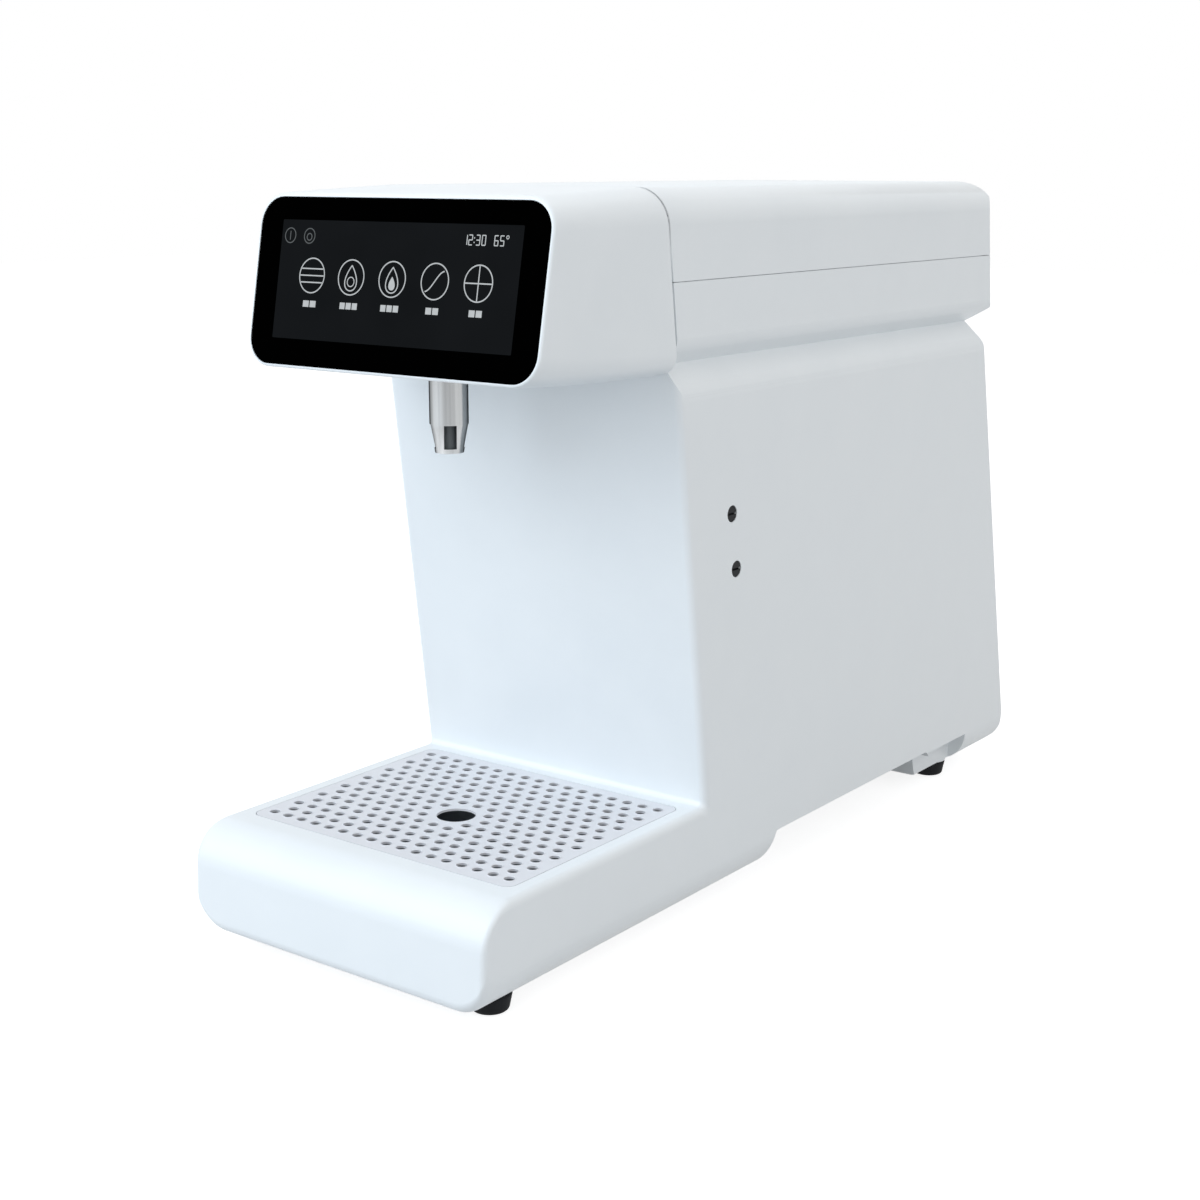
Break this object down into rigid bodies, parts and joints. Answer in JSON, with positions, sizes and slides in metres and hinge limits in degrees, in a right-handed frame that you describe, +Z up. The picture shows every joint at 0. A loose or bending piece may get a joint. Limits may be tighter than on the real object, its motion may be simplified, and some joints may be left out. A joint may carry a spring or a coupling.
{
  "type": "milk foam dispenser",
  "caption": "Counter-top milk foam dispenser: leaning housing, cooled milk tank under a hinged lid, tilted touch display, foam nozzle above a perforated drip tray, gear pump inside.",
  "frame": {"origin": "on the counter, under the middle of the bounding box", "axes": "+X to the right of a user in front, +Y to the back, +Z up"},
  "size_m": [0.2, 0.5574, 0.3925],
  "materials": {
    "white_housing": "satin",
    "white_sheet": "satin",
    "grey_tray": "matte",
    "black_glass": "polished",
    "screen": "satin",
    "circuit_board": "satin",
    "stainless": "satin",
    "aluminium": "satin",
    "alumina": "matte",
    "dark_tube": "matte",
    "silicone": "satin",
    "foot_rubber": "matte",
    "black_plastic": "satin",
    "pale_plastic": "satin",
    "foam_jacket": "matte"
  },
  "bodies": {
    "cabinet": {"air_block": "pale_plastic", "air_hose": "silicone", "bottom_cover": "white_sheet", "bottom_screws": "stainless", "chassis_shelf": "stainless", "cold_block": "aluminium", "control_board": "circuit_board", "display_board": "circuit_board", "display_glass": "black_glass", "fan_frame": "black_plastic", "feed_hose": "silicone", "flow_heater": "aluminium", "foam_hose": "silicone", "foot_screws": "stainless", "head_screws": "stainless", "head_shell": "white_housing", "heat_sink": "aluminium", "hinge_pins": "stainless", "lcd_module": "screen", "main_housing": "white_housing", "milk_tank": "stainless", "mixing_chamber": "pale_plastic", "outlet_block": "stainless", "outlet_oring": "dark_tube", "outlet_tube": "dark_tube", "peltier": "alumina", "power_inlet": "black_plastic", "power_supply": "aluminium", "pump_body": "stainless", "pump_bracket": "stainless", "pump_cover": "pale_plastic", "pump_motor": "stainless", "pump_screws": "stainless", "rear_cover": "white_sheet", "rear_screws": "stainless", "rubber_feet": "foot_rubber", "suction_hose": "silicone", "switch_frame": "black_plastic", "tank_collar": "white_housing", "tank_jacket": "foam_jacket"},
    "lid": {"lid_shell": "white_housing", "lid_liner": "pale_plastic", "lid_gasket": "silicone"},
    "tray": {"drip_tray": "grey_tray"},
    "grid": {"drip_grid": "white_sheet"},
    "nozzle": {"nozzle_sleeve": "stainless"},
    "upper_adjuster": {"adjuster_upper": "black_plastic"},
    "lower_adjuster": {"adjuster_lower": "black_plastic"},
    "rocker": {"switch_rocker": "black_plastic"},
    "drive_gear": {"pump_drive_gear": "stainless"},
    "idler_gear": {"pump_idler_gear": "stainless"},
    "fan": {"fan_rotor": "black_plastic"}
  },
  "joints": [
    {"name": "lid_hinge", "type": "hinge", "parent": "cabinet", "child": "lid", "pos_m": [0, 0.23704, 0.3465], "axis": [-1, 0, 0], "range_deg": [0, 75]},
    {"name": "tray_lift", "type": "slide", "parent": "cabinet", "child": "tray", "axis": [0, 0, 1], "range_m": [0, 0.045]},
    {"name": "grid_lift", "type": "slide", "parent": "tray", "child": "grid", "axis": [0, 0, 1], "range_m": [0, 0.015]},
    {"name": "nozzle_pull", "type": "slide", "parent": "cabinet", "child": "nozzle", "axis": [0, 0, -1], "range_m": [0, 0.04]},
    {"name": "upper_adjuster_turn", "type": "hinge", "parent": "cabinet", "child": "upper_adjuster", "pos_m": [0.0998, -0.0718, 0.2232], "axis": [1, 0, 0], "range_deg": [-270, 270]},
    {"name": "lower_adjuster_turn", "type": "hinge", "parent": "cabinet", "child": "lower_adjuster", "pos_m": [0.0998, -0.0668, 0.1926], "axis": [1, 0, 0], "range_deg": [-270, 270]},
    {"name": "rocker_tilt", "type": "hinge", "parent": "cabinet", "child": "rocker", "pos_m": [-0.006, 0.26631, 0.09015], "axis": [0, -0.205, 0.9788], "range_deg": [-8, 8]},
    {"name": "drive_spin", "type": "hinge", "parent": "cabinet", "child": "drive_gear", "pos_m": [0, 0.014, 0.0705], "axis": [0, 1, 0], "continuous": true},
    {"name": "idler_spin", "type": "hinge", "parent": "cabinet", "child": "idler_gear", "pos_m": [0, 0.014, 0.0905], "axis": [0, 1, 0], "continuous": true},
    {"name": "fan_spin", "type": "hinge", "parent": "cabinet", "child": "fan", "pos_m": [0, 0.205, 0.2015], "axis": [0, 1, 0], "continuous": true}
  ],
  "couplings": [
    {"joint": "idler_spin", "follows": "drive_spin", "ratio": -1}
  ]
}
